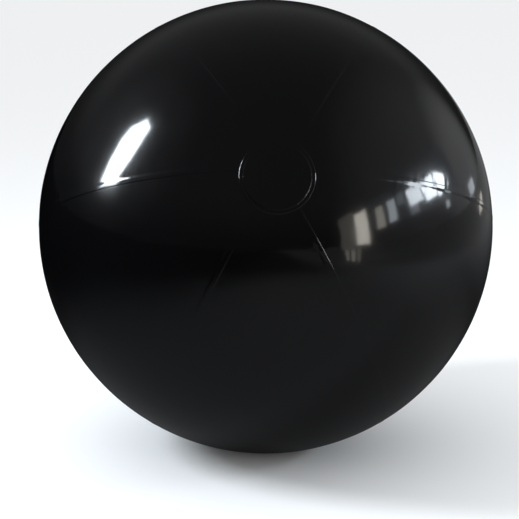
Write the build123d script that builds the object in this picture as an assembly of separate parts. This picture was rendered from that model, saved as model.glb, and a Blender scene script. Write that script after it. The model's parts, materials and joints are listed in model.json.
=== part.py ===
"""Giant inflatable beach ball: six welded film panels, two end discs and a push-in air valve.

Millimetres. The origin is the centre of the ball and +Z is up as the ball lies on the ground.
The panels are gores that run between two poles. The front pole faces -Y and is raised above
the horizon, and the ground flattens a small round of the panel that lies lowest.
"""
from build123d import *
from math import asin, cos, radians, sin, sqrt
import os

# The ball
BALL_RADIUS = 500.0
FILM = 0.4
PANEL_COUNT = 6
PANEL_ANGLE = 360.0 / PANEL_COUNT
LAP_WIDTH = 9.0
LAP_ROOT = 1.0
TIP_RADIUS = 30.0
END_DISC_RADIUS = 76.0
FRONT_DISC_DROP = 1.5
POLE_RISE = 24.5
FIRST_SEAM = 0.2
CONTACT_RADIUS = 60.0
VALVE_PANEL = 2
TRIM_SIZE = 3 * BALL_RADIUS

# The valve, by radius from its axis and height above the skin of the ball as it is pushed home.
# It is built drawn out by VALVE_TRAVEL, as for blowing the ball up.
VALVE_TRAVEL = 18.0
VALVE_FROM_FRONT_POLE = 140.0
VALVE_AROUND = FIRST_SEAM + 1.5 * PANEL_ANGLE
PANEL_HOLE_RADIUS = 9.5
FLANGE_RADIUS = 19.0
FLANGE_THICKNESS = 0.8
SKIRT_FOOT = -0.65
SKIRT_JOIN = -9.6
SKIRT_THICKNESS = 0.7
STEM_RADIUS = 6.8
STEM_BASE = -15.5
LIP_TOP = 2.5
LIP_BOTTOM = 1.6
LIP_RADIUS = 7.4
LIP_ROUND = 0.35
GROOVE_RADIUS = 6.4
GROOVE_BOTTOM = 0.2
SEAT_RADIUS = 5.5
SEAT_BOTTOM = -4.5
NOZZLE_BORE_RADIUS = 4.5

# The ring and strap that keep the plug
RING_RADIUS = 8.8
RING_LUG_REACH = 10.4
STRAP_WIDTH = 4.0
STRAP_THICKNESS = 0.8
STRAP_REACH = 12.6
STRAP_LOW = 0.5
STRAP_HIGH = 2.7

# The plug
CAP_RADIUS = 8.5
CAP_EDGE = 1.2
CAP_CROWN = 1.9
STOPPER_TOP_RADIUS = 5.3
STOPPER_TIP_RADIUS = 3.8
STOPPER_LENGTH = 6.2
BEAD_HEIGHT = 0.12
BEAD_DEPTHS = (1.4, 3.0)
BEAD_PITCH = 0.5
PULL_TAB_REACH = 13.0
PULL_TAB_WIDTH = 6.0
PULL_TAB_THICKNESS = 1.0
PULL_TAB_CORNER = 2.8

# The non-return flap at the foot of the stem
FLAP_RADIUS = 6.0
FLAP_THICKNESS = 0.7
FLAP_GAP = 0.1
FLAP_HINGE_OFFSET = 6.7
FLAP_HINGE_WIDTH = 5.0


def save(name, shape):
    """Write one sub-part, whose file name is its node's name."""
    export_step(shape, f"parts/{name}.step")


def polar_frame():
    """The ball's own axes: its Z runs out through the front pole, its X is the world's X."""
    rise = radians(POLE_RISE)
    return Plane(origin=(0, 0, 0), x_dir=(1, 0, 0), z_dir=(0, -cos(rise), sin(rise)))


def valve_frame():
    """The valve's axes: its origin is on the ball's skin and its Z runs outwards."""
    tilt = radians(VALVE_FROM_FRONT_POLE)
    around = radians(VALVE_AROUND)
    local = Vector(sin(tilt) * cos(around), sin(tilt) * sin(around), cos(tilt))
    outward = polar_frame().from_local_coords(local)
    level = Vector(outward.Y, -outward.X, 0).normalized()
    return Plane(origin=outward * BALL_RADIUS, x_dir=-level, z_dir=outward)


def ball_layer(outer, inner):
    """A spherical layer that is flat where the ball rests on the ground."""
    ground = sqrt(BALL_RADIUS**2 - CONTACT_RADIUS**2)
    solids = []
    for radius in (outer, inner):
        floor = ground - (BALL_RADIUS - radius)
        below = Pos(0, 0, -floor - TRIM_SIZE / 2) * Box(TRIM_SIZE, TRIM_SIZE, TRIM_SIZE)
        solids.append(Sphere(radius) - below)
    return solids[0] - solids[1]


def panel_wedge(index):
    """The space between two meridians of the ball, clear of the poles."""
    start = FIRST_SEAM + index * PANEL_ANGLE
    face = make_face(Polyline(
        (0, 0),
        (TRIM_SIZE * cos(radians(start)), TRIM_SIZE * sin(radians(start))),
        (TRIM_SIZE * cos(radians(start + PANEL_ANGLE)), TRIM_SIZE * sin(radians(start + PANEL_ANGLE))),
        (0, 0),
    ))
    wedge = extrude(face, amount=TRIM_SIZE / 2, both=True) - Cylinder(TIP_RADIUS, 2 * TRIM_SIZE)
    return polar_frame().location * wedge


def lap_strip(index):
    """The straight-sided strip along a panel's first meridian that lies under the panel before."""
    seam = FIRST_SEAM + index * PANEL_ANGLE
    width = LAP_WIDTH + LAP_ROOT
    strip = Pos(TRIM_SIZE / 2, width / 2 - LAP_WIDTH, 0) * Box(TRIM_SIZE, width, 2 * TRIM_SIZE)
    strip = Rot(0, 0, seam) * strip - Cylinder(TIP_RADIUS, 2 * TRIM_SIZE)
    return polar_frame().location * strip


def gore_panel(index):
    """One panel of film: its visible face and the lap that tucks under its neighbour."""
    skin = ball_layer(BALL_RADIUS, BALL_RADIUS - FILM) & panel_wedge(index)
    lap_layer = Sphere(BALL_RADIUS - FILM) - Sphere(BALL_RADIUS - 2 * FILM)
    panel = skin + (lap_layer & lap_strip(index))
    if index == VALVE_PANEL - 1:
        panel -= valve_frame().location * Cylinder(PANEL_HOLE_RADIUS, 4 * PANEL_HOLE_RADIUS)
    return panel


def end_disc(side, drop):
    """The round patch welded over the six panel tips, its centre turned down from the pole by drop."""
    low = BALL_RADIUS
    high = BALL_RADIUS + FILM
    reach = asin(END_DISC_RADIUS / BALL_RADIUS)
    half = reach / 2
    arcs = [
        ThreePointArc((0, r), (r * sin(half), r * cos(half)), (r * sin(reach), r * cos(reach)))
        for r in (low, high)
    ]
    rim = Line(arcs[0] @ 1, arcs[1] @ 1)
    axis_line = Line((0, low), (0, high))
    section = Plane.XZ * make_face([arcs[0], rim, arcs[1], axis_line])
    disc = revolve(section, Axis.Z, 360)
    turned = disc if side > 0 else Rot(180, 0, 0) * disc
    return polar_frame().location * Rot(drop, 0, 0) * turned


def skin_height(radius_from_axis, depth):
    """Height, in the valve's frame, of the sphere that lies at this depth under the skin."""
    return sqrt((BALL_RADIUS - depth)**2 - radius_from_axis**2) - BALL_RADIUS


def turned_piece(outline):
    """A solid of revolution about the valve's axis, from its outline of radius and height."""
    section = Plane.XZ * make_face(Polyline(*outline, close=True))
    return revolve(section, Axis.Z, 360)


def valve_flange():
    """The ring of the valve moulding that is welded under the film around the hole."""
    edges = []
    middle = (PANEL_HOLE_RADIUS + FLANGE_RADIUS) / 2
    for depth in (FILM, FILM + FLANGE_THICKNESS):
        points = [(r, skin_height(r, depth)) for r in (PANEL_HOLE_RADIUS, middle, FLANGE_RADIUS)]
        edges.append(ThreePointArc(*points))
    inner_wall = Line(edges[0] @ 0, edges[1] @ 0)
    outer_wall = Line(edges[0] @ 1, edges[1] @ 1)
    section = Plane.XZ * make_face([edges[0], outer_wall, edges[1], inner_wall])
    return revolve(section, Axis.Z, 360)


def valve_skirt():
    """The thin cone of the moulding that rolls when the stem is pushed in or pulled out."""
    join = SKIRT_JOIN + VALVE_TRAVEL
    return turned_piece([
        (PANEL_HOLE_RADIUS, SKIRT_FOOT - SKIRT_THICKNESS),
        (PANEL_HOLE_RADIUS, SKIRT_FOOT),
        (STEM_RADIUS, join),
        (STEM_RADIUS, join - SKIRT_THICKNESS),
    ])


def valve_stem():
    """The stiff tube of the valve: stepped bore, groove for the ring and a lip on top."""
    return turned_piece([
        (NOZZLE_BORE_RADIUS, STEM_BASE),
        (STEM_RADIUS, STEM_BASE),
        (STEM_RADIUS, GROOVE_BOTTOM),
        (GROOVE_RADIUS, GROOVE_BOTTOM),
        (GROOVE_RADIUS, LIP_BOTTOM),
        (LIP_RADIUS, LIP_BOTTOM),
        (LIP_RADIUS, LIP_TOP - LIP_ROUND),
        (LIP_RADIUS - LIP_ROUND, LIP_TOP),
        (SEAT_RADIUS, LIP_TOP),
        (SEAT_RADIUS, SEAT_BOTTOM),
        (NOZZLE_BORE_RADIUS, SEAT_BOTTOM),
    ])


def tether_ring():
    """The ring that snaps under the lip, with the lug that the strap grows from."""
    height = LIP_BOTTOM - GROOVE_BOTTOM
    middle = (LIP_BOTTOM + GROOVE_BOTTOM) / 2
    ring = Pos(0, 0, middle) * Cylinder(RING_RADIUS, height)
    lug_centre = -(RING_LUG_REACH + GROOVE_RADIUS) / 2
    lug = Pos(lug_centre, 0, middle) * Box(RING_LUG_REACH - GROOVE_RADIUS, STRAP_WIDTH, height)
    return (ring + lug) - Pos(0, 0, middle) * Cylinder(GROOVE_RADIUS, 2 * height)


def strap_run(start, end, low):
    """One straight stretch of the strap, seen from the side."""
    middle = (start + end) / 2
    return Pos(middle, low + STRAP_THICKNESS / 2) * Rectangle(end - start, STRAP_THICKNESS)


def tether_strap():
    """The short band that bends like a hinge between the ring's lug and the plug's cap."""
    bend = (STRAP_HIGH - STRAP_LOW + STRAP_THICKNESS) / 2
    bend_x = bend - STRAP_REACH
    bend_height = STRAP_LOW + bend
    ring = Circle(bend) - Circle(bend - STRAP_THICKNESS)
    loop = Pos(bend_x, bend_height) * (ring - Pos(bend, 0) * Rectangle(2 * bend, 3 * bend))
    low_run = strap_run(bend_x, -RING_LUG_REACH, STRAP_LOW)
    high_run = strap_run(bend_x, -STOPPER_TOP_RADIUS, STRAP_HIGH)
    band = extrude(Plane.XZ * (loop + low_run + high_run), amount=STRAP_WIDTH / 2, both=True)
    return band - Cylinder(CAP_RADIUS, 4 * STRAP_HIGH)


def stopper_plug():
    """The plug: domed cap, tapered stopper with two sealing beads, and a tab to pull it by."""
    tip = LIP_TOP - STOPPER_LENGTH
    taper = (STOPPER_TOP_RADIUS - STOPPER_TIP_RADIUS) / STOPPER_LENGTH
    outline = [(0, tip), (STOPPER_TIP_RADIUS, tip)]
    for depth in sorted(BEAD_DEPTHS, reverse=True):
        radius = STOPPER_TOP_RADIUS - taper * depth
        outline.append((radius - taper * BEAD_PITCH, LIP_TOP - depth - BEAD_PITCH))
        outline.append((radius + BEAD_HEIGHT, LIP_TOP - depth))
        outline.append((radius + taper * BEAD_PITCH, LIP_TOP - depth + BEAD_PITCH))
    outline.append((STOPPER_TOP_RADIUS, LIP_TOP))
    outline.append((CAP_RADIUS, LIP_TOP))
    outline.append((CAP_RADIUS, LIP_TOP + CAP_EDGE))
    side = Polyline(*outline)
    dome = (CAP_RADIUS**2 + (CAP_CROWN - CAP_EDGE)**2) / (2 * (CAP_CROWN - CAP_EDGE))
    halfway = CAP_RADIUS / 2
    crown = ThreePointArc(
        (CAP_RADIUS, LIP_TOP + CAP_EDGE),
        (halfway, LIP_TOP + CAP_CROWN - dome + sqrt(dome**2 - halfway**2)),
        (0, LIP_TOP + CAP_CROWN),
    )
    axis_line = Line((0, LIP_TOP + CAP_CROWN), (0, tip))
    section = Plane.XZ * make_face([*side.edges(), crown, axis_line])
    plug = revolve(section, Axis.Z, 360)
    tab_length = PULL_TAB_REACH - SEAT_RADIUS
    tab_height = LIP_TOP + PULL_TAB_THICKNESS / 2
    tab = Pos(PULL_TAB_REACH - tab_length / 2, 0, tab_height) * Box(
        tab_length, PULL_TAB_WIDTH, PULL_TAB_THICKNESS)
    outer_corners = tab.edges().filter_by(Axis.Z).group_by(Axis.X)[-1]
    return plug + fillet(outer_corners, PULL_TAB_CORNER)


def check_flap():
    """The soft disc that air pressure shuts against the foot of the stem."""
    top = STEM_BASE - FLAP_GAP
    middle = top - FLAP_THICKNESS / 2
    disc = Pos(0, 0, middle) * Cylinder(FLAP_RADIUS, FLAP_THICKNESS)
    bridge_length = FLAP_HINGE_OFFSET - NOZZLE_BORE_RADIUS
    bridge = Pos(-FLAP_HINGE_OFFSET + bridge_length / 2, 0, middle) * Box(
        bridge_length, FLAP_HINGE_WIDTH, FLAP_THICKNESS)
    knuckle = Pos(-FLAP_HINGE_OFFSET, 0, middle) * Rot(90, 0, 0) * Cylinder(
        FLAP_THICKNESS / 2, FLAP_HINGE_WIDTH)
    return disc + bridge + knuckle


os.makedirs("parts", exist_ok=True)

for index in range(PANEL_COUNT):
    save(f"gore_panel_{index + 1}", gore_panel(index))

save("front_end_disc", end_disc(1, FRONT_DISC_DROP))
save("rear_end_disc", end_disc(-1, 0))

placed = valve_frame().location
save("valve_flange", placed * valve_flange())
save("valve_skirt", placed * valve_skirt())

drawn_out = placed * Pos(0, 0, VALVE_TRAVEL)
save("valve_stem", drawn_out * valve_stem())
save("tether_ring", drawn_out * tether_ring())
save("tether_strap", drawn_out * tether_strap())
save("stopper_plug", drawn_out * stopper_plug())
save("check_flap", drawn_out * check_flap())
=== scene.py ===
"""Looks for the giant inflatable beach ball: black gloss film panels, end discs and air valve."""
import json
from math import asin, cos, pi, radians, sin

import bmesh
import bpy
from mathutils import Matrix, Vector


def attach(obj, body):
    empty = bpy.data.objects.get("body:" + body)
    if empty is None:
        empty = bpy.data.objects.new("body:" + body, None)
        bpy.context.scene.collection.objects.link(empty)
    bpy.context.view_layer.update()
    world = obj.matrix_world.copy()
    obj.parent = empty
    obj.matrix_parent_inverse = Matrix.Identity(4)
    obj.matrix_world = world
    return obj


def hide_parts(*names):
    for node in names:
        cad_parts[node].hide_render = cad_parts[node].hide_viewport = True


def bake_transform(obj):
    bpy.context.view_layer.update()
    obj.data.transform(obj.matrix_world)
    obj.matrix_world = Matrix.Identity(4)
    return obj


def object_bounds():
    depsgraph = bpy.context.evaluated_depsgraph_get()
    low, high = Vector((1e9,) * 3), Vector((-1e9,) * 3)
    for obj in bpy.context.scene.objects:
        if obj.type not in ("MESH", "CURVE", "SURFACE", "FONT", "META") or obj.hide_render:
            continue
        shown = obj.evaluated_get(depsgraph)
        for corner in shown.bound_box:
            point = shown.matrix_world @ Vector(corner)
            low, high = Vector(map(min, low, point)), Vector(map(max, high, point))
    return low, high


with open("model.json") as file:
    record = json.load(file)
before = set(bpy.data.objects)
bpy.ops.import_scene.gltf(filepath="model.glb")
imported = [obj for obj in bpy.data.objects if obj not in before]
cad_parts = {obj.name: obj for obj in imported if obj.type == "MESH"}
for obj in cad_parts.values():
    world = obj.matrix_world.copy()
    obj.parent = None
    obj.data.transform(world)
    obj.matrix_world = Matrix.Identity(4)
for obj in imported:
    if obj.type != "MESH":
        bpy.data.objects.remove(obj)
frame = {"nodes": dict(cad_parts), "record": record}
cad_low, cad_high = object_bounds()

MM = 0.001

# The ball, with the sizes of its CAD model
BALL_RADIUS = 500 * MM
GROUND_DEPTH = -cad_low.z
FILM = 0.4 * MM
PANEL_COUNT = 6
PANEL_ANGLE = 2 * pi / PANEL_COUNT
FIRST_SEAM = radians(0.2)
POLE_RISE = radians(24.5)
FRONT_DISC_DROP = radians(1.5)
POLE_TURN = pi / 2 - POLE_RISE
LAP_WIDTH = 9 * MM
TIP_RADIUS = 30 * MM
DISC_RADIUS = 76 * MM
WELD_BAND = 9 * MM
WELD_BEAD_HEIGHT = 0.55 * MM
EDGE_BEAD_HEIGHT = 0.4 * MM
EDGE_BEAD_INSET = 1.3 * MM
BEAD_SPREAD = 0.9 * MM
DISC_PUFF = 0.9 * MM
VALVE_PANEL = 2
VALVE_POLAR = radians(140)
HOLE_RADIUS = 9.5 * MM
FLANGE_RADIUS = 19 * MM
FLANGE_LIFT = 0.32 * MM
FLANGE_WELD_RADIUS = 14.5 * MM
FLANGE_WELD_DEPTH = 0.22 * MM

# The valve, in millimetres: radius from its axis and height above the skin when it is pushed home
VALVE_TRAVEL = 18.0
STEM_RADIUS = 6.8
STEM_BASE = -15.5
LIP_TOP = 2.5
LIP_BOTTOM = 1.6
LIP_RADIUS = 7.4
GROOVE_RADIUS = 6.4
GROOVE_BOTTOM = 0.2
SEAT_RADIUS = 5.5
SEAT_BOTTOM = -4.5
NOZZLE_BORE_RADIUS = 4.5
SNUG = 0.02
RING_RADIUS = 8.8
RING_LUG_REACH = 10.4
RING_LUG_ROOT = 7.5
LUG_UNDERSIDE = 0.55
STRAP_WIDTH = 4.0
STRAP_THICKNESS = 0.8
STRAP_BEND_ACROSS = -11.1
STRAP_BEND_HEIGHT = 2.0
STRAP_BEND_RADIUS = 1.1
PULL_TAB_ROOT = 6.0
PULL_TAB_REACH = 13.0
PULL_TAB_WIDTH = 6.0
PULL_TAB_TOP = 3.5
PULL_TAB_RIBS = (9.4, 10.8)
RIB_WIDTH = 0.7
RIB_LENGTH = 3.6
RIB_BOTTOM = 3.3
RIB_TOP = 3.8
# The skirt's two ends, with the valve drawn out by VALVE_TRAVEL
SKIRT_FOOT = (9.5, -0.65)
SKIRT_JOIN = (6.8, 8.4)
SKIRT_THICKNESS = 0.7
SKIRT_BELLY = 0.06

nozzle = next(m for m in frame["record"]["mounts"] if m["name"] == "nozzle_bore")
VALVE_OUT = Vector(nozzle["axis"]).normalized()
VALVE_SIDE = Vector((-VALVE_OUT.y, VALVE_OUT.x, 0)).normalized()
VALVE_UP = VALVE_OUT.cross(VALVE_SIDE)


# Node trees are written as sums


class Term:
    """A number that flows through a node tree, so that sums can be written as sums."""

    def __init__(self, nodes, socket):
        self.nodes = nodes
        self.socket = socket

    def __add__(self, other):
        return self.nodes.math("ADD", self, other)

    def __sub__(self, other):
        return self.nodes.math("SUBTRACT", self, other)

    def __rsub__(self, other):
        return self.nodes.math("SUBTRACT", other, self)

    def __mul__(self, other):
        return self.nodes.math("MULTIPLY", self, other)

    def __truediv__(self, other):
        return self.nodes.math("DIVIDE", self, other)

    __radd__ = __add__
    __rmul__ = __mul__


class Nodes:
    """Adds nodes to one tree and joins them up."""

    def __init__(self, tree):
        self.tree = tree

    def feed(self, socket, value):
        if isinstance(value, Term):
            value = value.socket
        if isinstance(value, bpy.types.NodeSocket):
            self.tree.links.new(value, socket)
        elif value is not None:
            socket.default_value = value

    def make(self, kind, inputs=None, **settings):
        node = self.tree.nodes.new(kind)
        for name, value in settings.items():
            setattr(node, name, value)
        for name, value in (inputs or {}).items():
            self.feed(node.inputs[name], value)
        return node

    def math(self, operation, *values):
        node = self.make("ShaderNodeMath", dict(enumerate(values)), operation=operation)
        return Term(self, node.outputs[0])

    def ramp(self, value, low, high, to_low=0.0, to_high=1.0):
        """Goes smoothly from to_low to to_high as value goes from low to high."""
        inputs = {"Value": value, "From Min": low, "From Max": high, "To Min": to_low, "To Max": to_high}
        node = self.make("ShaderNodeMapRange", inputs, interpolation_type="SMOOTHSTEP")
        return Term(self, node.outputs["Result"])

    def bell(self, value, width):
        """One where value is nought, falling away over about a width on either side."""
        share = value / width
        return self.math("EXPONENT", share * share * -1.0)

    def vector(self, x, y, z):
        node = self.make("ShaderNodeCombineXYZ", {"X": x, "Y": y, "Z": z})
        return node.outputs["Vector"]

    def parts(self, vector):
        node = self.make("ShaderNodeSeparateXYZ", {"Vector": vector})
        return [Term(self, socket) for socket in node.outputs]

    def scaled(self, vector, share):
        node = self.make("ShaderNodeVectorMath", {0: vector, "Scale": share}, operation="SCALE")
        return node.outputs["Vector"]

    def tilted(self, vector, angle):
        """The vector turned about the X axis."""
        inputs = {"Vector": vector, "Angle": angle}
        node = self.make("ShaderNodeVectorRotate", inputs, rotation_type="X_AXIS")
        return node.outputs["Vector"]

    def noise(self, vector, seed, detail=1.0):
        """Smooth noise between about -1 and 1, one unit of the vector to a wave."""
        inputs = {"Vector": vector, "W": seed, "Scale": 1.0, "Detail": detail}
        node = self.make("ShaderNodeTexNoise", inputs, noise_dimensions="4D")
        return (Term(self, node.outputs[0]) - 0.5) * 3.0


# The skin of the inflated ball


SLOW_WAVE = 210 * MM
FINE_WAVE = 55 * MM
SKIN_INPUTS = {
    "Slow Swell": 0.55 * MM,
    "Fine Swell": 0.14 * MM,
    "Seam Valley": 0.25 * MM,
    "Pucker Height": 0.3 * MM,
    "Pucker Pitch": 15 * MM,
    "Pucker Reach": 24 * MM,
}


def new_tree(name, inputs, outputs):
    """An empty geometry tree with named inputs and outputs, and the nodes that carry them."""
    tree = bpy.data.node_groups.new(name, "GeometryNodeTree")
    kinds = {float: "NodeSocketFloat", int: "NodeSocketInt", str: "NodeSocketMaterial"}
    for key, value in inputs.items():
        socket = tree.interface.new_socket(key, in_out="INPUT", socket_type=kinds[type(value)])
        if not isinstance(value, str):
            socket.default_value = value
    for key, kind in outputs.items():
        tree.interface.new_socket(key, in_out="OUTPUT", socket_type=kind)
    nodes = Nodes(tree)
    source = nodes.make("NodeGroupInput")
    values = {key: Term(nodes, source.outputs[key]) for key in inputs}
    return nodes, values, nodes.make("NodeGroupOutput")


def skin_point_tree():
    """Where a point of the skin lies: swells, seam valleys, puckers, valve ring and ground flat."""
    inputs = {"Polar Angle": 0.0, "Azimuth": 0.0, "Height": 0.0, **SKIN_INPUTS, "Seed": 0.0}
    nodes, value, out = new_tree("skin_point", inputs, {"Position": "NodeSocketVector"})
    polar, azimuth, height = value["Polar Angle"], value["Azimuth"], value["Height"]

    across = nodes.math("SINE", polar)
    local = nodes.vector(
        across * nodes.math("COSINE", azimuth),
        across * nodes.math("SINE", azimuth),
        nodes.math("COSINE", polar),
    )
    outward = nodes.tilted(local, POLE_TURN)

    turns = (azimuth - FIRST_SEAM) / PANEL_ANGLE
    seam = nodes.math("ROUND", turns)
    from_seam = (turns - seam) * across * (PANEL_ANGLE * BALL_RADIUS)
    seam_name = nodes.math("FLOORED_MODULO", seam, float(PANEL_COUNT)) * 7.3
    along = polar * BALL_RADIUS

    clear_of_disc = nodes.ramp(across * BALL_RADIUS, 0.8 * DISC_RADIUS, 1.25 * DISC_RADIUS)
    pitch = value["Pucker Pitch"]
    ripple = nodes.noise(nodes.vector(along / pitch, from_seam / (3.0 * pitch), seam_name), value["Seed"])
    patches = nodes.noise(nodes.vector(along / (14.0 * pitch), seam_name, 0.0), value["Seed"] + 3.0)
    gathered = nodes.ramp(patches, -0.6, 0.7, 0.25, 1.0) * clear_of_disc
    pucker = ripple * value["Pucker Height"] * gathered * nodes.bell(from_seam, value["Pucker Reach"])
    valley = nodes.bell(from_seam, 1.1 * value["Pucker Reach"]) * value["Seam Valley"] * clear_of_disc

    slow = nodes.noise(nodes.scaled(outward, BALL_RADIUS / SLOW_WAVE), value["Seed"] + 5.0)
    fine = nodes.noise(nodes.scaled(outward, BALL_RADIUS / FINE_WAVE), value["Seed"] + 9.0)
    swell = slow * value["Slow Swell"] + fine * value["Fine Swell"]

    cross = nodes.make("ShaderNodeVectorMath", {0: outward, 1: VALVE_OUT}, operation="CROSS_PRODUCT")
    reach = nodes.make("ShaderNodeVectorMath", {0: cross.outputs["Vector"]}, operation="LENGTH")
    dot = nodes.make("ShaderNodeVectorMath", {0: outward, 1: VALVE_OUT}, operation="DOT_PRODUCT")
    far_side = nodes.ramp(Term(nodes, dot.outputs["Value"]), -0.1, 0.1, 1.0, 0.0)
    from_valve = Term(nodes, reach.outputs["Value"]) * BALL_RADIUS + far_side
    flange_lift = nodes.ramp(from_valve, FLANGE_RADIUS, FLANGE_RADIUS + 2.5 * MM, FLANGE_LIFT, 0.0)
    weld_groove = nodes.bell(from_valve - FLANGE_WELD_RADIUS, 1.0 * MM) * FLANGE_WELD_DEPTH
    calm = nodes.ramp(from_valve, FLANGE_RADIUS, 60 * MM)

    radius = swell * calm + pucker - valley + flange_lift - weld_groove + height + BALL_RADIUS
    x, y, z = nodes.parts(nodes.scaled(outward, radius))
    lowest = nodes.math("MAXIMUM", height * -1.0, 0.0) - GROUND_DEPTH
    settled = nodes.math("SMOOTH_MAX", z, lowest, 1.5 * MM)
    nodes.feed(out.inputs["Position"], nodes.vector(x, y, settled))
    return nodes.tree


SKIN_POINT = skin_point_tree()


def skin_position(nodes, value, polar, azimuth, height):
    """The skin's point at these angles, from the shared tree."""
    inputs = {"Polar Angle": polar, "Azimuth": azimuth, "Height": height, "Seed": value["Seed"]}
    inputs.update({key: value[key] for key in SKIN_INPUTS})
    node = nodes.make("GeometryNodeGroup", node_tree=SKIN_POINT)
    for key, given in inputs.items():
        nodes.feed(node.inputs[key], given)
    return node.outputs["Position"]


def closed_film(nodes, grid, outer, inner, material, out):
    """A closed sheet of film: one grid for its outside, one for its inside, and a rim between them."""
    walls = nodes.make("GeometryNodeExtrudeMesh", {"Mesh": grid, "Offset Scale": 0.0, "Individual": False})
    outside = nodes.make("GeometryNodeSetPosition", {"Geometry": grid, "Position": outer})
    based = nodes.make("GeometryNodeSetPosition", {"Geometry": walls.outputs["Mesh"], "Position": outer})
    sunk = nodes.make("GeometryNodeSetPosition", {
        "Geometry": based.outputs["Geometry"],
        "Selection": walls.outputs["Top"],
        "Position": inner,
    })
    turned = nodes.make("GeometryNodeFlipFaces", {"Mesh": sunk.outputs["Geometry"]})
    both = nodes.make("GeometryNodeJoinGeometry")
    nodes.feed(both.inputs["Geometry"], outside.outputs["Geometry"])
    nodes.feed(both.inputs["Geometry"], turned.outputs["Mesh"])
    merged = nodes.make("GeometryNodeMergeByDistance", {
        "Geometry": both.outputs["Geometry"],
        "Distance": 0.004 * MM,
    })
    smooth = nodes.make("GeometryNodeSetShadeSmooth", {"Geometry": merged.outputs["Geometry"]})
    real = nodes.make("GeometryNodeRealizeInstances", {"Geometry": smooth.outputs["Geometry"]})
    dressed = nodes.make("GeometryNodeSetMaterial", {
        "Geometry": real.outputs["Geometry"],
        "Material": material,
    })
    nodes.feed(out.inputs["Geometry"], dressed.outputs["Geometry"])


def captured(nodes, geometry, fields):
    """Fixes each field's value on the grid's points, so that it survives when the points move."""
    node = nodes.make("GeometryNodeCaptureAttribute", {"Geometry": geometry})
    kept = []
    for name, field in fields.items():
        node.capture_items.new("FLOAT", name)
        nodes.feed(node.inputs[name], field)
        kept.append(Term(nodes, node.outputs[name]))
    return node.outputs["Geometry"], kept


def gore_tree():
    """One film panel: crowded with points along its edges, lapped over one neighbour, under the other."""
    inputs = {
        "End": 0.0,
        "Columns": 80,
        "Lap Columns": 3,
        "Rows": 480,
        "Edge Crowding": 0.95,
        "Valve Crowding": 0.0,
        "Bead Width": 1.6 * MM,
        **SKIN_INPUTS,
        "Seed": 0.0,
        "Film": "material",
    }
    nodes, value, out = new_tree("gore_panel", inputs, {"Geometry": "NodeSocketGeometry"})
    all_columns = value["Columns"] + value["Lap Columns"]
    grid = nodes.make("GeometryNodeMeshGrid", {
        "Vertices X": all_columns + 1.0,
        "Vertices Y": value["Rows"] + 1.0,
    })
    x, y, z = nodes.parts(nodes.make("GeometryNodeInputPosition").outputs["Position"])
    column = (x + 0.5) * all_columns
    share = nodes.math("MINIMUM", column / value["Columns"], 1.0)
    lapped = nodes.math("MAXIMUM", (column - value["Columns"]) / value["Lap Columns"], 0.0)

    middle = share - 0.5
    gather = nodes.bell(middle, 0.3) * middle * (1.0 - middle * middle * 4.0) * value["Valve Crowding"]
    share = share - gather
    share = share - nodes.math("SINE", share * (2 * pi)) * value["Edge Crowding"] * (1 / (2 * pi))

    tip = asin(TIP_RADIUS / BALL_RADIUS)
    valve_row = (VALVE_POLAR - tip) / (pi - 2 * tip)
    row = 0.5 - y
    past = row - valve_row
    row = row - nodes.bell(past, 0.06) * past * value["Valve Crowding"] * 0.75
    polar = row * (pi - 2 * tip) + tip

    waist = nodes.math("SINE", polar) * BALL_RADIUS
    azimuth = value["End"] - share * PANEL_ANGLE - lapped * LAP_WIDTH / waist
    inward = share * waist * PANEL_ANGLE
    lap_side = 1.0 - nodes.math("GREATER_THAN", share, 0.5)
    step = nodes.ramp(inward, -0.15 * MM, value["Bead Width"], 0.1, 1.0)
    over = nodes.ramp(inward, LAP_WIDTH - 0.8 * MM, LAP_WIDTH + 5.0 * MM, FILM, 0.0) * lap_side
    tucked = nodes.ramp(lapped, 0.0, 0.3, 0.0, -0.03 * MM)
    outer_height = over * step + tucked
    inner_height = over + tucked - FILM

    fields = {"polar": polar, "azimuth": azimuth, "outer": outer_height, "inner": inner_height}
    geometry, (polar, azimuth, outer_height, inner_height) = captured(nodes, grid.outputs["Mesh"], fields)
    outer = skin_position(nodes, value, polar, azimuth, outer_height)
    inner = skin_position(nodes, value, polar, azimuth, inner_height)
    closed_film(nodes, geometry, outer, inner, value["Film"], out)
    return nodes.tree


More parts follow.
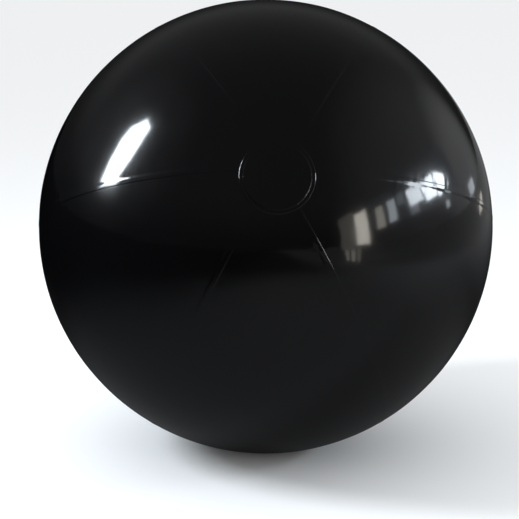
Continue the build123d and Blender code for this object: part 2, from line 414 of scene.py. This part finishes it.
def disc_tree():
    """An end disc: a round of film over the panel tips, with its pressed weld band and beads."""
    inputs = {
        "Side": 1.0,
        "Drop": 0.0,
        "Rings": 90,
        "Segments": 288,
        "Bead Width": 1.2 * MM,
        **SKIN_INPUTS,
        "Seed": 0.0,
        "Film": "material",
    }
    nodes, value, out = new_tree("end_disc", inputs, {"Geometry": "NodeSocketGeometry"})
    grid = nodes.make("GeometryNodeMeshGrid", {
        "Vertices X": value["Segments"] + 1.0,
        "Vertices Y": value["Rings"] + 1.0,
    })
    x, y, z = nodes.parts(nodes.make("GeometryNodeInputPosition").outputs["Position"])
    share = 0.5 - y
    crowded = 1.0 - nodes.math("POWER", 1.0 - share, 1.9)
    reach = crowded * DISC_RADIUS
    slant = nodes.math("ARCSINE", reach * (1 / BALL_RADIUS))
    around = x * (2 * pi)
    across = nodes.math("SINE", slant)
    local = nodes.vector(
        across * nodes.math("COSINE", around),
        across * nodes.math("SINE", around) * value["Side"],
        nodes.math("COSINE", slant) * value["Side"],
    )
    dx, dy, dz = nodes.parts(nodes.tilted(local, value["Drop"]))
    polar = nodes.math("ARCCOSINE", dz)
    azimuth = nodes.math("ARCTAN2", dy, dx)
    from_pole = nodes.math("SINE", polar) * BALL_RADIUS

    turns = (azimuth - FIRST_SEAM) / PANEL_ANGLE
    from_seam = (turns - nodes.math("ROUND", turns)) * from_pole * PANEL_ANGLE
    ridge_start = nodes.ramp(from_seam, -LAP_WIDTH - 2.0 * MM, 1.0 * MM - LAP_WIDTH)
    ridge_end = nodes.ramp(from_seam, -1.0 * MM, 1.5 * MM, 1.0, 0.0)
    near_tip = nodes.ramp(from_pole, TIP_RADIUS, 1.6 * TIP_RADIUS)
    ridge = ridge_start * ridge_end * near_tip * FILM

    to_edge = DISC_RADIUS - reach
    band = nodes.ramp(to_edge, WELD_BAND - 1.2 * MM, WELD_BAND + 1.2 * MM)
    step = nodes.ramp(to_edge, -0.15 * MM, value["Bead Width"], 0.1, 1.0)
    weld_bead = nodes.bell(to_edge - WELD_BAND, BEAD_SPREAD) * WELD_BEAD_HEIGHT
    edge_bead = nodes.bell(to_edge - EDGE_BEAD_INSET, BEAD_SPREAD) * EDGE_BEAD_HEIGHT
    bead = weld_bead + edge_bead
    puffed = nodes.ramp(reach, 0.0, DISC_RADIUS - WELD_BAND, DISC_PUFF, 0.0)
    lifted = ridge + 0.06 * MM + band * (0.3 * MM) + puffed
    outer_height = lifted + step * FILM + bead
    fields = {"polar": polar, "azimuth": azimuth, "outer": outer_height, "inner": lifted}
    geometry, (polar, azimuth, outer_height, lifted) = captured(nodes, grid.outputs["Mesh"], fields)
    outer = skin_position(nodes, value, polar, azimuth, outer_height)
    inner = skin_position(nodes, value, polar, azimuth, lifted)
    closed_film(nodes, geometry, outer, inner, value["Film"], out)
    return nodes.tree


def grown(name, tree, settings):
    """A piece whose plain mesh is what a geometry tree makes with these inputs."""
    piece = bpy.data.objects.new(name, bpy.data.meshes.new(name))
    bpy.context.scene.collection.objects.link(piece)
    modifier = piece.modifiers.new("build", "NODES")
    modifier.node_group = tree
    for item in tree.interface.items_tree:
        if item.in_out == "INPUT" and item.name in settings:
            modifier[item.identifier] = settings[item.name]
    depsgraph = bpy.context.evaluated_depsgraph_get()
    mesh = bpy.data.meshes.new_from_object(piece.evaluated_get(depsgraph))
    piece.modifiers.remove(modifier)
    piece.data = mesh
    return piece


# The valve's mouldings, in its own frame: across, up the ball and out from the skin, in millimetres


def valve_point(across, up, out):
    """The point on the ball that lies so far across, up and out from the centre of the valve's hole."""
    return VALVE_OUT * (BALL_RADIUS + out * MM) + VALVE_SIDE * (across * MM) + VALVE_UP * (up * MM)


def rectangle(left, right, width):
    """The corners of a rectangle from left to right, as wide to either side of the middle line."""
    half = width / 2
    return [(left, -half), (right, -half), (right, half), (left, half)]


def rounded(outline, radius, steps=4):
    """A closed outline with its corners rounded, as far as the sides beside them allow."""
    points = []
    for index, corner in enumerate(outline):
        corner = Vector(corner)
        before = Vector(outline[index - 1]) - corner
        after = Vector(outline[(index + 1) % len(outline)]) - corner
        if corner.x == 0:
            points.append(corner)
            continue
        cut = min(radius, 0.45 * before.length, 0.45 * after.length)
        first = corner + before.normalized() * cut
        last = corner + after.normalized() * cut
        for step in range(steps + 1):
            share = step / steps
            points.append(first * (1 - share)**2 + corner * (2 * share * (1 - share)) + last * share**2)
    return points


def closed_mesh(name, rings, looped, capped):
    """A mesh over rings of points, each ring closed, run together end to end or capped at both ends."""
    shape = bmesh.new()
    rows = [[shape.verts.new(point) for point in ring] for ring in rings]
    count = len(rows) if looped else len(rows) - 1
    for index in range(count):
        near, far = rows[index], rows[(index + 1) % len(rows)]
        for place in range(len(near)):
            following = (place + 1) % len(near)
            shape.faces.new((near[place], near[following], far[following], far[place]))
    if capped:
        shape.faces.new(rows[0])
        shape.faces.new(rows[-1])
    bmesh.ops.remove_doubles(shape, verts=shape.verts, dist=0.001 * MM)
    bmesh.ops.recalc_face_normals(shape, faces=shape.faces)
    mesh = bpy.data.meshes.new(name)
    shape.to_mesh(mesh)
    shape.free()
    mesh.shade_smooth()
    mesh.set_sharp_from_angle(angle=radians(40))
    piece = bpy.data.objects.new(name, mesh)
    bpy.context.scene.collection.objects.link(piece)
    return piece


def turned(name, outline, out, radius, segments=96):
    """A turned moulding, from its outline of radius and height."""
    profile = rounded(outline, radius)
    rings = []
    for step in range(segments):
        angle = 2 * pi * step / segments
        rings.append([valve_point(r * cos(angle), r * sin(angle), h + out) for r, h in profile])
    return closed_mesh(name, rings, looped=True, capped=False)


def slab(name, plan, low, high, edge, corner):
    """A flat moulding with rounded corners in plan and soft edges above and below."""
    outline = rounded(plan, corner, steps=8)
    middle = sum(outline, Vector((0, 0))) / len(outline)
    rings = []
    for inset, height in ((edge, low), (0.3 * edge, low + 0.3 * edge), (0, low + edge),
                          (0, high - edge), (0.3 * edge, high - 0.3 * edge), (edge, high)):
        ring = []
        for point in outline:
            inward = (middle - point).normalized() * inset
            ring.append(valve_point(*(point + inward), height))
        rings.append(ring)
    return closed_mesh(name, rings, looped=False, capped=True)


def strap_piece(name):
    """The band from the ring's lug, round its bend and into the side of the cap."""
    low = STRAP_BEND_HEIGHT - STRAP_BEND_RADIUS
    high = STRAP_BEND_HEIGHT + STRAP_BEND_RADIUS
    path = [(-9.9, low), (-10.5, low)]
    for turn in range(0, 181, 12):
        out = STRAP_BEND_RADIUS * sin(radians(turn))
        drop = STRAP_BEND_RADIUS * cos(radians(turn))
        path.append((STRAP_BEND_ACROSS - out, STRAP_BEND_HEIGHT - drop))
    path += [(across, high) for across in (-10.6, -9.8, -9.0, -8.2)]
    section = rounded(rectangle(-STRAP_WIDTH / 2, STRAP_WIDTH / 2, STRAP_THICKNESS), 0.25)
    rings = []
    for index, (across, height) in enumerate(path):
        before = Vector(path[max(index - 1, 0)])
        after = Vector(path[min(index + 1, len(path) - 1)])
        along = (after - before).normalized()
        normal = Vector((along.y, -along.x))
        rings.append([
            valve_point(across + normal.x * thick, side, height + normal.y * thick + VALVE_TRAVEL)
            for side, thick in section
        ])
    return closed_mesh(name, rings, looped=False, capped=True)


def joined(name, pieces):
    """Several closed mouldings of one piece, as one mesh."""
    shape = bmesh.new()
    for piece in pieces:
        shape.from_mesh(piece.data)
        bpy.data.objects.remove(piece)
    mesh = bpy.data.meshes.new(name)
    shape.to_mesh(mesh)
    shape.free()
    whole = bpy.data.objects.new(name, mesh)
    bpy.context.scene.collection.objects.link(whole)
    return whole


def skirt_moulding():
    """The thin cone between the flange and the stem, which bellies a little on its way up."""
    foot_radius, foot_height = SKIRT_FOOT
    join_radius, join_height = SKIRT_JOIN
    steps = 24
    outside = []
    for step in range(steps + 1):
        share = step / steps
        lean = share + SKIRT_BELLY * sin(2 * pi * share)
        radius = foot_radius + (join_radius - foot_radius) * lean
        outside.append((radius, foot_height + (join_height - foot_height) * share))
    inside = [(r - 0.12, h - SKIRT_THICKNESS) for r, h in reversed(outside[1:])]
    outline = [(foot_radius, foot_height - SKIRT_THICKNESS), *outside, *inside]
    return turned("valve_skirt_cone", outline, 0, 0.02, segments=128)


def stem_moulding():
    """The tube of the valve: stepped bore, groove for the ring and a lip on top."""
    outline = [
        (NOZZLE_BORE_RADIUS, STEM_BASE), (STEM_RADIUS, STEM_BASE), (STEM_RADIUS, GROOVE_BOTTOM),
        (GROOVE_RADIUS, GROOVE_BOTTOM), (GROOVE_RADIUS, LIP_BOTTOM), (LIP_RADIUS, LIP_BOTTOM),
        (LIP_RADIUS, LIP_TOP), (SEAT_RADIUS, LIP_TOP), (SEAT_RADIUS, SEAT_BOTTOM),
        (NOZZLE_BORE_RADIUS, SEAT_BOTTOM),
    ]
    return turned("valve_stem_tube", outline, VALVE_TRAVEL, 0.3, segments=128)


def ring_moulding():
    """The ring that snaps under the stem's lip, with the lug that the strap grows from."""
    inner, bottom, top = GROOVE_RADIUS + SNUG, GROOVE_BOTTOM + SNUG, LIP_BOTTOM - SNUG
    outline = [(inner, bottom), (RING_RADIUS, bottom), (RING_RADIUS, top), (inner, top)]
    ring = turned("ring", outline, VALVE_TRAVEL, 0.3)
    lug_plan = rectangle(-RING_LUG_REACH, -RING_LUG_ROOT, STRAP_WIDTH)
    lug = slab("lug", lug_plan, LUG_UNDERSIDE + VALVE_TRAVEL, top + VALVE_TRAVEL, 0.25, 0.6)
    return joined("tether_ring_moulding", [ring, lug])


def plug_moulding():
    """The cap, its stopper with a sealing bead, and the ribbed pull tab."""
    stopper = [
        (0, -3.7), (3.8, -3.7), (4.35, -1.0), (4.66, -0.8), (4.66, -0.4), (4.55, 0.0),
        (4.72, 0.7), (5.1, 0.9), (5.1, 1.3), (5.1, LIP_TOP),
    ]
    crown = [(8.5, LIP_TOP), (8.5, 3.7), (7.0, 4.0), (4.2, 4.27), (2.0, 4.37), (0, 4.4)]
    cap = turned("cap", stopper + crown, VALVE_TRAVEL, 0.35)
    tab_plan = rectangle(PULL_TAB_ROOT, PULL_TAB_REACH, PULL_TAB_WIDTH)
    tab = slab("tab", tab_plan, LIP_TOP + VALVE_TRAVEL, PULL_TAB_TOP + VALVE_TRAVEL, 0.25, 2.6)
    ribs = []
    for across in PULL_TAB_RIBS:
        plan = rectangle(across, across + RIB_WIDTH, RIB_LENGTH)
        low, high = RIB_BOTTOM + VALVE_TRAVEL, RIB_TOP + VALVE_TRAVEL
        ribs.append(slab(f"rib_{across}", plan, low, high, 0.15, 0.3))
    return joined("stopper_plug_moulding", [cap, tab, *ribs])


def drilled(piece, radius, segments=96, depth=20):
    """Cuts the valve's round hole through a film panel."""
    angles = [2 * pi * step / segments for step in range(segments)]
    ends = [
        [valve_point(radius * cos(angle), radius * sin(angle), height) for angle in angles]
        for height in (-depth, depth)
    ]
    cutter = closed_mesh("hole_cutter", ends, looped=False, capped=True)
    modifier = piece.modifiers.new("hole", "BOOLEAN")
    modifier.object = cutter
    modifier.operation = "DIFFERENCE"
    modifier.solver = "EXACT"
    depsgraph = bpy.context.evaluated_depsgraph_get()
    mesh = bpy.data.meshes.new_from_object(piece.evaluated_get(depsgraph))
    piece.modifiers.remove(modifier)
    mesh.set_sharp_from_angle(angle=radians(50))
    piece.data = mesh
    bpy.data.objects.remove(cutter)


# Materials


def new_material(name):
    """A new material with its shader, ready for nodes."""
    material = bpy.data.materials.new(name)
    material.use_nodes = True
    nodes = Nodes(material.node_tree)
    shader = next(n for n in nodes.tree.nodes if n.type == "BSDF_PRINCIPLED")
    return material, nodes, shader


def object_place(nodes):
    """Where a point is on its object, which stays the same from every side."""
    return nodes.make("ShaderNodeTexCoord").outputs["Object"]


def black_film():
    """Gloss black vinyl film: a clear skin over a slightly hazy body, handled and a little dusty."""
    material, nodes, shader = new_material("black_gloss_film")
    place = object_place(nodes)
    smudge = nodes.noise(nodes.scaled(place, 9.0), 1.0, detail=4.0)
    haze = nodes.ramp(smudge, -0.7, 0.9, 0.17, 0.27)
    nodes.feed(shader.inputs["Roughness"], haze)
    dust = nodes.noise(nodes.scaled(place, 700.0), 2.0, detail=0.0)
    settled = nodes.noise(nodes.scaled(place, 4.0), 3.0, detail=2.0)
    specks = nodes.ramp(dust, 1.02, 1.2) * nodes.ramp(settled, -0.3, 0.9, 0.1, 1.0)
    mix = nodes.make("ShaderNodeMix", data_type="RGBA")
    nodes.feed(mix.inputs[0], specks)
    nodes.feed(mix.inputs[6], (0.0012, 0.0012, 0.0014, 1))
    nodes.feed(mix.inputs[7], (0.03, 0.029, 0.027, 1))
    nodes.feed(shader.inputs["Base Color"], mix.outputs[2])
    grain = nodes.noise(nodes.scaled(place, 260.0), 4.0, detail=2.0)
    bump = nodes.make("ShaderNodeBump", {"Height": grain, "Strength": 0.05, "Distance": 0.1 * MM})
    nodes.feed(shader.inputs["Normal"], bump.outputs["Normal"])
    shader.inputs["IOR"].default_value = 1.5
    shader.inputs["Specular IOR Level"].default_value = 0.06
    shader.inputs["Coat Weight"].default_value = 1.0
    shader.inputs["Coat Roughness"].default_value = 0.085
    shader.inputs["Coat IOR"].default_value = 1.45
    return material


def milky_vinyl():
    """The valve's soft vinyl: milky, a little see-through, satin from its mould."""
    material, nodes, shader = new_material("milky_valve_vinyl")
    place = object_place(nodes)
    cloud = nodes.noise(nodes.scaled(place, 180.0), 1.0, detail=2.0)
    mix = nodes.make("ShaderNodeMix", data_type="RGBA")
    nodes.feed(mix.inputs[0], nodes.ramp(cloud, -0.8, 0.8))
    nodes.feed(mix.inputs[6], (0.36, 0.38, 0.38, 1))
    nodes.feed(mix.inputs[7], (0.46, 0.48, 0.47, 1))
    nodes.feed(shader.inputs["Base Color"], mix.outputs[2])
    nodes.feed(shader.inputs["Roughness"], nodes.ramp(cloud, -0.8, 0.8, 0.3, 0.42))
    grain = nodes.noise(nodes.scaled(place, 1500.0), 2.0, detail=2.0)
    bump = nodes.make("ShaderNodeBump", {"Height": grain, "Strength": 0.12, "Distance": 0.05 * MM})
    nodes.feed(shader.inputs["Normal"], bump.outputs["Normal"])
    shader.inputs["Subsurface Weight"].default_value = 0.35
    shader.inputs["Subsurface Radius"].default_value = (0.004, 0.004, 0.004)
    shader.inputs["Subsurface Scale"].default_value = 1.0
    return material


film_material = black_film()
valve_material = milky_vinyl()


# Stage, light and camera


def plain_floor():
    """A wide pale floor that the ball stands on, evenly pale to the view, dim and with painted light and
    shade in what the gloss mirrors of it.
    """
    mesh = bpy.data.meshes.new("floor")
    reach = 60.0
    corners = [(-reach, -reach), (reach, -reach), (reach, reach), (-reach, reach)]
    mesh.from_pydata([(x, y, -GROUND_DEPTH) for x, y in corners], [], [(0, 1, 2, 3)])
    floor = bpy.data.objects.new("floor", mesh)
    bpy.context.scene.collection.objects.link(floor)
    material, nodes, shader = new_material("pale_floor")
    x, y, z = nodes.parts(object_place(nodes))
    # painted light and shade: what the gloss mirrors of the floor is a painted pool of light at its front
    # that fades away, painted shade to the left and behind, and painted light again far to the right
    from_front = nodes.math("SQRT", (x - 0.4) * (x - 0.4) + (y + 0.9) * (y + 0.9))
    painted_near_light = nodes.ramp(from_front, 0.9, 2.9, 0.16, 0.03)
    mirrored = painted_near_light * nodes.ramp(x, -1.8, 0.3, 0.2, 1.0) * nodes.ramp(y, -0.6, 0.7, 1.0, 0.14)
    path = nodes.make("ShaderNodeLightPath")
    glossy = Term(nodes, path.outputs["Is Glossy Ray"])
    painted_far_right_light = nodes.ramp(x, 0.8, 2.8, 0.0, 0.155)
    # glossy rays see the painted light and shade, all other rays see the even pale floor
    tone = (1.0 - glossy) * 0.88 + glossy * (mirrored + painted_far_right_light)
    nodes.feed(shader.inputs["Base Color"], nodes.vector(tone, tone, tone))
    shader.inputs["Roughness"].default_value = 0.9
    shader.inputs["Specular IOR Level"].default_value = 0.0
    mesh.materials.append(material)


def glowing_board(name, wall, outline, glow, colour):
    """A flat glowing shape on an upright wall beside the ball, outlined by distances along and up it."""
    mesh = bpy.data.meshes.new(name)
    mesh.from_pydata([(wall, along, up) for along, up in outline], [], [list(range(len(outline)))])
    material = bpy.data.materials.new(name)
    material.use_nodes = True
    nodes = Nodes(material.node_tree)
    output = next(n for n in nodes.tree.nodes if n.type == "OUTPUT_MATERIAL")
    light = nodes.make("ShaderNodeEmission", {"Color": (*colour, 1), "Strength": glow})
    nodes.feed(output.inputs["Surface"], light.outputs["Emission"])
    mesh.materials.append(material)
    board = bpy.data.objects.new(name, mesh)
    board.visible_camera = False
    bpy.context.scene.collection.objects.link(board)


def pane(near, far, bottom, top):
    """An upright rectangle on the wall."""
    return [(near, bottom), (far, bottom), (far, top), (near, top)]


def pale_room():
    """An even pale room for the floor and the view, and a dim one for what the gloss mirrors."""
    world = bpy.data.worlds.new("room")
    bpy.context.scene.world = world
    world.use_nodes = True
    nodes = Nodes(world.node_tree)
    background = next(n for n in nodes.tree.nodes if n.type == "BACKGROUND")
    direction = nodes.make("ShaderNodeTexCoord").outputs["Generated"]
    x, y, z = nodes.parts(direction)
    # how bright the mirrored room is: overhead, and as haze round the windows, the strip and a corner
    overhead = nodes.ramp(z, 0.0, 0.45, 0.03, 0.085) * nodes.ramp(y, -0.1, 0.75, 1.0, 1.1)
    toward_window = nodes.ramp(x * 0.93 + y * -0.1 + z * 0.3, 0.6, 1.0, 0.0, 0.2)
    toward_strip = nodes.ramp(x * -0.85 + y * 0.05 + z * 0.52, 0.8, 1.0, 0.0, 0.1)
    toward_corner = nodes.ramp(x * 0.82 + y * 0.56 + z * 0.1, 0.9, 1.0, 0.0, 0.3)
    low_and_behind = nodes.ramp(y - z * 2.0, -0.1, 0.75, 1.0, 0.35)
    dim = (overhead + toward_window + toward_strip) * low_and_behind + toward_corner
    path = nodes.make("ShaderNodeLightPath")
    glossy = Term(nodes, path.outputs["Is Glossy Ray"])
    strength = dim * glossy + (1.0 - glossy) * 1.0
    nodes.feed(background.inputs["Strength"], strength)
    background.inputs["Color"].default_value = (0.97, 0.985, 1.0, 1)


plain_floor()
pale_room()

WINDOW_WALL = 3.0
STRIP_WALL = -2.5
WARM = (1.0, 0.96, 0.86)
COOL = (0.84, 0.92, 1.0)
# each pane of the window wall: its outline, how brightly it glows, and its colour
WINDOW_PANES = [
    (pane(-4.8, -3.66, -0.1, 1.3), 0.9, WARM),
    (pane(-4.6, -3.7, 1.14, 1.3), 3.5, WARM),
    (pane(-3.62, -2.95, 0.05, 1.15), 9.0, WARM),
    (pane(-4.45, -4.15, -0.5, -0.06), 2.4, WARM),
    (pane(-3.98, -3.72, -0.5, -0.06), 2.8, WARM),
    (pane(-3.6, -3.46, -0.5, -0.06), 2.0, WARM),
    (pane(-2.55, -2.2, 0.42, 1.02), 4.0, WARM),
    (pane(-2.02, -1.68, 0.48, 1.05), 6.0, COOL),
    (pane(-1.58, -1.3, 0.8, 1.1), 1.6, COOL),
    (pane(-1.16, -0.62, 0.66, 1.05), 16.0, COOL),
    (pane(-0.56, -0.08, 0.6, 1.0), 22.0, COOL),
    ([(-0.02, 0.56), (0.36, 0.62), (0.4, 0.82), (-0.02, 1.0)], 22.0, COOL),
    (pane(-1.2, -0.85, 0.48, 0.68), 2.0, COOL),
    (pane(0.14, 0.34, 0.28, 0.42), 4.0, COOL),
    (pane(1.5, 2.1, 0.12, 0.3), 2.4, COOL),
    (pane(2.2, 2.9, -0.3, -0.12), 1.6, WARM),
    (pane(-2.9, 0.9, 0.45, 1.35), 0.35, COOL),
]
for number, (outline, glow, colour) in enumerate(WINDOW_PANES, 1):
    wall = WINDOW_WALL + 0.01 * number
    glowing_board(f"window_pane_{number}", wall, outline, glow, colour)

STRIP_OUTLINE = [
    (0.0, 0.62), (0.06, 1.2), (0.15, 1.95), (-0.05, 2.35),
    (-0.36, 2.3), (-0.5, 1.85), (-0.5, 1.35), (-0.42, 0.8),
]
glowing_board("side_strip", STRIP_WALL, STRIP_OUTLINE, 40.0, COOL)

# The camera looks a little down and slightly from the left, through a long lens
CAMERA_DISTANCE = 4.25
CAMERA_AZIMUTH = radians(-2.87)
CAMERA_RISE = radians(11.5)
AIM_LEFT = radians(0.189)
AIM_DOWN = radians(0.975)
LENS = 132.9

camera_data = bpy.data.cameras.new("camera")
camera_data.lens = LENS
camera_data.sensor_width = 36
camera = bpy.data.objects.new("camera", camera_data)
bpy.context.scene.collection.objects.link(camera)
bpy.context.scene.camera = camera
back = Vector((
    sin(CAMERA_AZIMUTH) * cos(CAMERA_RISE),
    -cos(CAMERA_AZIMUTH) * cos(CAMERA_RISE),
    sin(CAMERA_RISE),
))
facing = back.to_track_quat("Z", "Y").to_matrix()
aimed = Matrix.Rotation(AIM_LEFT, 3, "Z") @ facing @ Matrix.Rotation(-AIM_DOWN, 3, "X")
camera.matrix_world = Matrix.Translation(back * CAMERA_DISTANCE) @ aimed.to_4x4()

bpy.context.scene.view_settings.view_transform = "Standard"


# The ball's film


gore = gore_tree()
for index in range(PANEL_COUNT):
    node = f"gore_panel_{index + 1}"
    settings = {"End": FIRST_SEAM + (index + 1) * PANEL_ANGLE, "Film": film_material}
    if index == VALVE_PANEL - 1:
        settings.update({"Valve Crowding": 0.82, "Columns": 106, "Rows": 420})
    panel = grown(f"{node}_film", gore, settings)
    if index == VALVE_PANEL - 1:
        drilled(panel, HOLE_RADIUS / MM)
    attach(panel, "ball")
    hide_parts(node)

disc = disc_tree()
for node, side, drop in (("front_end_disc", 1.0, FRONT_DISC_DROP), ("rear_end_disc", -1.0, 0.0)):
    piece = grown(f"{node}_film", disc, {"Side": side, "Drop": drop, "Film": film_material})
    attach(piece, "ball")
    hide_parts(node)

# The valve, drawn out as for blowing the ball up

skirt = skirt_moulding()
stem = stem_moulding()
ring = ring_moulding()
strap = strap_piece("tether_strap_band")
plug = plug_moulding()
for piece, node, body in (
    (stem, "valve_stem", "valve"),
    (ring, "tether_ring", "valve"),
    (plug, "stopper_plug", "plug"),
):
    piece.data.materials.append(valve_material)
    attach(piece, body)
    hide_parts(node)

# The skirt between ball and valve and the strap between valve and plug get the valve's vinyl and are baked
# where they stand
BEND_LOW = STRAP_BEND_HEIGHT - STRAP_BEND_RADIUS + VALVE_TRAVEL
BEND_HIGH = STRAP_BEND_HEIGHT + STRAP_BEND_RADIUS + VALVE_TRAVEL
for piece, node, bodies, across, start, end in (
    (skirt, "valve_skirt", ("ball", "valve"), 0, SKIRT_FOOT[1], SKIRT_JOIN[1] - SKIRT_THICKNESS),
    (strap, "tether_strap", ("valve", "plug"), STRAP_BEND_ACROSS, BEND_LOW, BEND_HIGH),
):
    piece.data.materials.append(valve_material)
    valve_point(across, 0, start)
    valve_point(across, 0, end)
    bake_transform(piece)
    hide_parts(node)
for node in ("valve_flange", "check_flap"):
    frame["nodes"][node].data.materials.clear()
    frame["nodes"][node].data.materials.append(valve_material)
